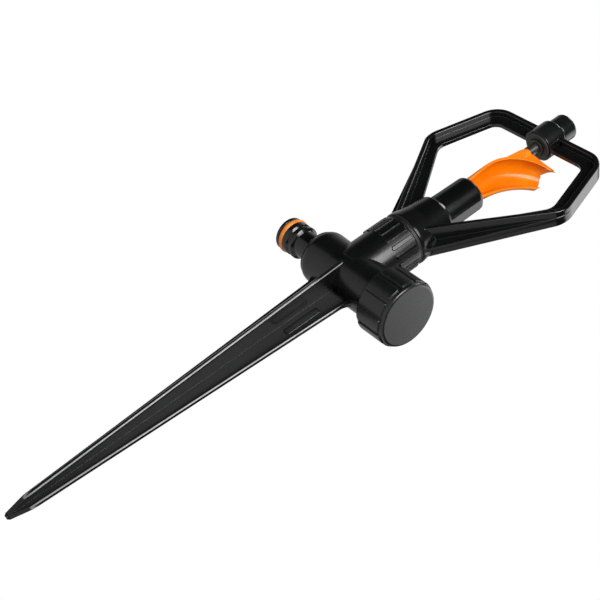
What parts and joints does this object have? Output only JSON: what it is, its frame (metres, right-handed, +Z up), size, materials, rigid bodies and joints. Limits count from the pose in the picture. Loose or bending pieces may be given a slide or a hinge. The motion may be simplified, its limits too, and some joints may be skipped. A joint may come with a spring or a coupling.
{
  "type": "garden sprinkler",
  "caption": "Rotary garden sprinkler on a ground spike: hose nipple, screw cap, yoke-shaped head frame and a spinning water channel.",
  "frame": {"origin": "spike axis at ground level, with the spike pushed in up to the rest of its blades", "axes": "+Z up along the spike axis, +X along the cross-tube towards the screw cap, hose nipple at -X"},
  "size_m": [0.0867, 0.031, 0.3096],
  "materials": {
    "black_plastic": "satin moulded",
    "black_gloss_plastic": "glossy moulded",
    "cap_plastic": "satin moulded",
    "orange_plastic": "glossy moulded",
    "orange_rubber": "smooth",
    "black_rubber": "matt",
    "dark_bearing_plastic": "smooth",
    "natural_acetal": "smooth",
    "pin_steel": "ground"
  },
  "bodies": {
    "ground_body": {"ground_spike_body": "black_plastic", "inlet_spigot": "black_plastic", "inlet_o_ring": "orange_rubber", "spigot_seal": "black_rubber"},
    "cap_washer": {"end_cap_gasket": "black_rubber"},
    "cap": {"end_cap": "cap_plastic"},
    "head_washer": {"head_gasket": "black_rubber"},
    "head": {"head_frame": "black_gloss_plastic", "nozzle_insert": "dark_bearing_plastic", "nozzle_o_ring": "black_rubber", "lower_bush": "natural_acetal", "lower_thrust_washer": "natural_acetal", "upper_bush": "dark_bearing_plastic", "upper_thrust_washer": "dark_bearing_plastic", "thrust_pad": "natural_acetal"},
    "rotor": {"spinner": "orange_plastic", "spinner_pin": "pin_steel"},
    "plug_seal": {"top_plug_o_ring": "black_rubber"},
    "plug": {"top_plug": "black_gloss_plastic"}
  },
  "joints": [
    {"name": "cap_advance", "type": "slide", "parent": "ground_body", "child": "cap_washer", "axis": [1, 0, 0], "range_m": [0, 0.01088]},
    {"name": "cap_turn", "type": "hinge", "parent": "cap_washer", "child": "cap", "pos_m": [0.028, 0, 0.03], "axis": [1, 0, 0], "range_deg": [0, 2160]},
    {"name": "head_advance", "type": "slide", "parent": "ground_body", "child": "head_washer", "axis": [0, 0, 1], "range_m": [0, 0.00906]},
    {"name": "head_turn", "type": "hinge", "parent": "head_washer", "child": "head", "pos_m": [0, 0, 0.061], "axis": [0, 0, 1], "range_deg": [0, 1800]},
    {"name": "rotor_spin", "type": "hinge", "parent": "head", "child": "rotor", "pos_m": [0, 0, 0.09], "axis": [0, 0, 1], "continuous": true},
    {"name": "plug_advance", "type": "slide", "parent": "head", "child": "plug_seal", "axis": [0, 0, 1], "range_m": [0, 0.00299]},
    {"name": "plug_turn", "type": "hinge", "parent": "plug_seal", "child": "plug", "pos_m": [0, 0, 0.16], "axis": [0, 0, 1], "range_deg": [0, 1080]}
  ],
  "couplings": [
    {"joint": "cap_turn", "follows": "cap_advance", "rad_per_m": 3463.7},
    {"joint": "head_turn", "follows": "head_advance", "rad_per_m": 3463.7},
    {"joint": "plug_turn", "follows": "plug_advance", "rad_per_m": 6283.2}
  ]
}
